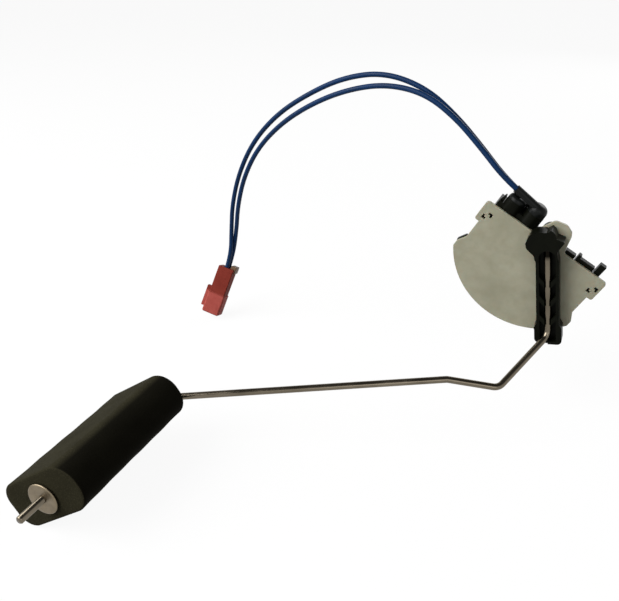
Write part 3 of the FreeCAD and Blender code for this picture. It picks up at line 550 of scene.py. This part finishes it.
def foam_slab(front, back):
    """The outline carried along the wire: flat ends that shrink to the bore, quarter
    rounds at both ends, the bore, and sides that sway in by up to 0.22 mm, as the
    product of two slow sines that fade towards the ends.  Also gives how much painted
    light each point takes: fully on the ends, and on the broad faces by their angle."""
    turn = 0.5 * math.pi * np.arange(edge_rings + 1) / edge_rings
    edge_depth = float_round * (1 - np.cos(turn))
    edge = slab_outline(float_round * (1 - np.sin(turn))[:, None])
    hole = float_bore * np.stack([np.cos(slab_angle), np.sin(slab_angle)], -1)
    share = np.linspace(0, 1, end_rings + 1)[:-1, None, None]
    ends = hole + (edge[0] - hole) * share

    side_depth = np.linspace(front + float_round, back - float_round,
                             side_rings + 2)[1:-1]
    run = (side_depth[:, None] - front) / MM
    left = (back - side_depth[:, None]) / MM
    edge_run = float_round / MM
    fade = np.minimum(1.0, (np.minimum(run, left) - edge_run) / sway_fade)
    sway = (np.sin(0.31 * run + 2.0 * np.sin(2 * slab_angle))
            * np.sin(3 * slab_angle + 0.17 * run))
    sides = slab_outline(sway_depth * fade * (1 + sway))

    flat = np.concatenate([ends, edge, sides, edge[::-1], ends[::-1]])
    depth = np.concatenate([
        np.full(end_rings, front), front + edge_depth, side_depth,
        back - edge_depth[::-1], np.full(end_rings, back)])[:, None]
    cosine, sine = math.cos(float_tilt), math.sin(float_tilt)
    x = float_axis[0] + flat[..., 0] * cosine - flat[..., 1] * sine
    z = float_axis[2] + flat[..., 0] * sine + flat[..., 1] * cosine
    points = np.stack([x, np.broadcast_to(depth, x.shape), z], -1)
    # Painted light mask: full on the ends, and on the broad faces by their angle.
    broad = np.clip((np.abs(np.sin(slab_angle)) - broad_from) / broad_rise, 0, 1)
    at_end = (depth < front + lit_end_depth) | (depth > back - lit_end_depth)
    return points, np.where(at_end, 1.0, broad)


slab_points, slab_painted_light = foam_slab(float_low.y, float_high.y)
slab_mesh = surface("foam_slab", slab_points, ring_faces(*slab_painted_light.shape),
                    nitrile_foam, 50)
slab_mesh.attributes.new("painted_light", "FLOAT", "POINT").data.foreach_set(
    "value", slab_painted_light.ravel())
fitted("foam_slab", slab_mesh, "float", "float")


# ---------------------------------------------------------------- End washer
# A stamped steel washer pushed on the wire's tip to keep the float on.  Its
# profile is given from the bore outwards, as radius and depth in millimetres.
washer_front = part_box("end_washer")[0].y
washer_around = 72
washer_profile = [
    (1.5, 0.0), (1.5, 0.25), (2.0, 0.16), (2.6, 0.05), (4.6, 0.03), (5.9, 0.05),
    (6.25, 0.12), (6.46, 0.3), (6.5, 0.5), (6.46, 0.72), (6.25, 0.95), (5.9, 1.0),
    (3.5, 1.0), (1.5, 1.0)]

# Steel with zinc and a yellow passivation: warm, a little dull, with faint
# round marks from the tool.
passivated_steel, tree = blank("yellow passivated steel")
place = add(tree, "TexCoord").outputs["Object"]
centred = add(tree, "Mapping", {
    "Vector": place, "Location": (-float_axis[0], -washer_front, -float_axis[2])})
marks = add(tree, "TexWave", {"Vector": centred.outputs[0], "Scale": 1 / (2.4 * MM),
                              "Distortion": 1.5, "Detail": 2.0},
            wave_type="RINGS", rings_direction="Y")
tint = add(tree, "TexNoise", {"Vector": place, "Scale": 1 / (3 * MM),
                              "Detail": 3.0}).outputs["Fac"]
relief = add(tree, "Bump", {"Height": marks.outputs["Fac"], "Strength": 0.1,
                            "Distance": 0.03 * MM})
warm = add(tree, "Mix", {0: tint, 6: linear("#665B49"), 7: linear("#8F836F")},
           data_type="RGBA").outputs[2]
shader = add(tree, "BsdfPrincipled", {
    "Base Color": warm, "Metallic": 1.0, "Roughness": 0.42,
    "Normal": relief.outputs[0]})
add(tree, "OutputMaterial", {"Surface": shader.outputs[0]})


def turned(profile, axis, front, around):
    """A closed profile of radius and depth pairs, spun round an axis along Y: the
    radius times cos and sin, and the depth behind the front."""
    profile = np.array(profile) * MM
    angle = np.linspace(0, 2 * math.pi, around, endpoint=False)
    x = axis[0] + profile[:, :1] * np.cos(angle)
    z = axis[2] + profile[:, :1] * np.sin(angle)
    return np.stack([x, np.broadcast_to(front + profile[:, 1:], x.shape), z], -1)


washer_points = turned(washer_profile, float_axis, washer_front, washer_around)
washer_mesh = surface("push_washer", washer_points,
                      ring_faces(len(washer_profile), washer_around),
                      passivated_steel, 50)
fitted("push_washer", washer_mesh, "float_arm", "end_washer")


# ---------------------------------------------------------------- Inner parts
# Hidden in the housing and the plug: brass strips, rivets and contacts, the
# white ceramic card with its printed tracks, the wiper and the steel pin.

# Stamped brass: bright yellow metal, browned in small patches.
stamped_brass = mottled("stamped brass", 2 * MM, 3.0, "#A88443", "#D9B46A",
                        {"Metallic": 1.0, "Roughness": 0.32})
# Rolled phosphor bronze: redder than the brass, and a little brighter.
spring_bronze = mottled("rolled phosphor bronze", 2 * MM, 3.0, "#9C6B3F", "#CF9A66",
                        {"Metallic": 1.0, "Roughness": 0.28})
# Ground steel: a cool grey shine, finely clouded by the wheel.
ground_steel = mottled("ground steel", 0.6 * MM, 3.0, "#A3A39F", "#C9C9C6",
                       {"Metallic": 1.0, "Roughness": 0.25})
# Fired alumina: a chalky white with hardly any sheen.
fired_ceramic = mottled("fired alumina", 0.6 * MM, 3.0, "#D8D5CA", "#EAE8E0",
                        {"Roughness": 0.55, "IOR": 1.7})
# Fired resistive ink: a dark, matte grey print.
track_ink = mottled("fired resistive ink", 0.4 * MM, 3.0, "#1A1B1C", "#2B2C2E",
                    {"Roughness": 0.5, "IOR": 1.5})
# Dark grey acetal: a plain moulded grey with a soft sheen.
grey_acetal = mottled("dark grey acetal", 1.5 * MM, 2.0, "#4A4A48", "#5C5C59",
                      {"Roughness": 0.45, "IOR": 1.48})

inner_finishes = {
    "pivot_pin": ground_steel, "resistor_card": fired_ceramic,
    "resistor_tracks": track_ink, "card_rivets": stamped_brass,
    "terminal_left": stamped_brass, "terminal_right": stamped_brass,
    "contact_left": stamped_brass, "contact_right": stamped_brass,
    "wiper_carrier": grey_acetal, "wiper_spring": spring_bronze,
    "wiper_contacts": spring_bronze, "wiper_rivets": stamped_brass}
for name, material in inner_finishes.items():
    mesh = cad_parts[name].data
    mesh.materials.clear()
    mesh.materials.append(material)


# ---------------------------------------------------------------- Floor and light
# A pale paper sweep under the sender, one broad lamp from the upper left and
# two weak ones, from the right and from behind, in a pale room.
floor_level = -82.85 * MM
floor_half = 30.0
paper_white = 0.93


def seen_rays(tree):
    """One for a ray of the camera, a reflection or a clear piece, else nought."""
    rays = add(tree, "LightPath")
    seen = rays.outputs["Is Camera Ray"]
    for kind in ("Is Glossy Ray", "Is Transmission Ray"):
        seen = add(tree, "Math", {0: seen, 1: rays.outputs[kind]},
                   use_clamp=True).outputs[0]
    return seen


# Matte paper: white to the eye apart from the object's soft shadow, and a mid
# grey to the light, so that it throws little back on the object.
floor_mesh = bpy.data.meshes.new("floor")
floor_mesh.from_pydata([
    (-floor_half, -floor_half, floor_level), (floor_half, -floor_half, floor_level),
    (floor_half, floor_half, floor_level), (-floor_half, floor_half, floor_level)],
    [], [(0, 1, 2, 3)])
floor = bpy.data.objects.new("floor", floor_mesh)
bpy.context.scene.collection.objects.link(floor)
pale_floor, tree = blank("pale paper sweep")
seen = seen_rays(tree)
grey = add(tree, "Mix", {0: seen, 6: linear("#858585"), 7: linear("#F0F0F0")},
           data_type="RGBA").outputs[2]
paper = add(tree, "BsdfDiffuse", {"Color": grey})
bright = add(tree, "Emission", {"Color": (1, 1, 1, 1), "Strength": 1.0})
shown = add(tree, "Math", {0: seen, 1: paper_white}, operation="MULTIPLY")
shader = add(tree, "MixShader", {0: shown.outputs[0], 1: paper.outputs[0],
                                 2: bright.outputs[0]})
add(tree, "OutputMaterial", {"Surface": shader.outputs[0]})
floor_mesh.materials.append(pale_floor)


def lamp(name, place, target, size, power):
    """A square soft lamp that faces a point."""
    data = bpy.data.lights.new(name, "AREA")
    data.shape = "SQUARE"
    data.size = size
    data.energy = power
    made = bpy.data.objects.new(name, data)
    bpy.context.scene.collection.objects.link(made)
    place, target = Vector(place), Vector(target)
    made.location = place
    made.rotation_mode = "QUATERNION"
    made.rotation_quaternion = (target - place).to_track_quat("-Z", "Y")


lamp("key_lamp", (-0.88, -0.74, 0.76), (-0.08, -0.05, -0.02), size=1.2, power=30.0)
lamp("side_lamp", (0.5, -0.9, 0.3), (-0.05, -0.05, -0.02), size=0.6, power=1.4)
lamp("back_lamp", (0.25, 1.0, 0.5), (-0.08, -0.02, -0.02), size=0.8, power=4.0)

# The room lights the sender a little more from above.  Seen by itself or in a
# reflection, it is white all round and dim overhead.
world = bpy.data.worlds.new("pale room")
world.use_nodes = True
tree = world.node_tree
tree.nodes.clear()
upward = add(tree, "SeparateXYZ", {
    "Vector": add(tree, "TexCoord").outputs["Generated"]}).outputs["Z"]
overhead = add(tree, "MapRange", {"Value": upward, "From Min": -0.1, "From Max": 0.9,
                                  "To Min": 0.1, "To Max": 0.34})
room = add(tree, "Background", {"Color": linear("#F4F3F0"),
                                "Strength": overhead.outputs[0]})
dimmer = add(tree, "MapRange", {"Value": upward, "From Min": 0.4, "From Max": 0.75,
                                "To Min": 0.95, "To Max": 0.1})
white = add(tree, "Background", {"Color": (1, 1, 1, 1), "Strength": dimmer.outputs[0]})
both = add(tree, "MixShader", {0: seen_rays(tree), 1: room.outputs[0],
                               2: white.outputs[0]})
add(tree, "OutputWorld", {"Surface": both.outputs[0]})
bpy.context.scene.world = world
bpy.context.scene.view_settings.view_transform = "Standard"
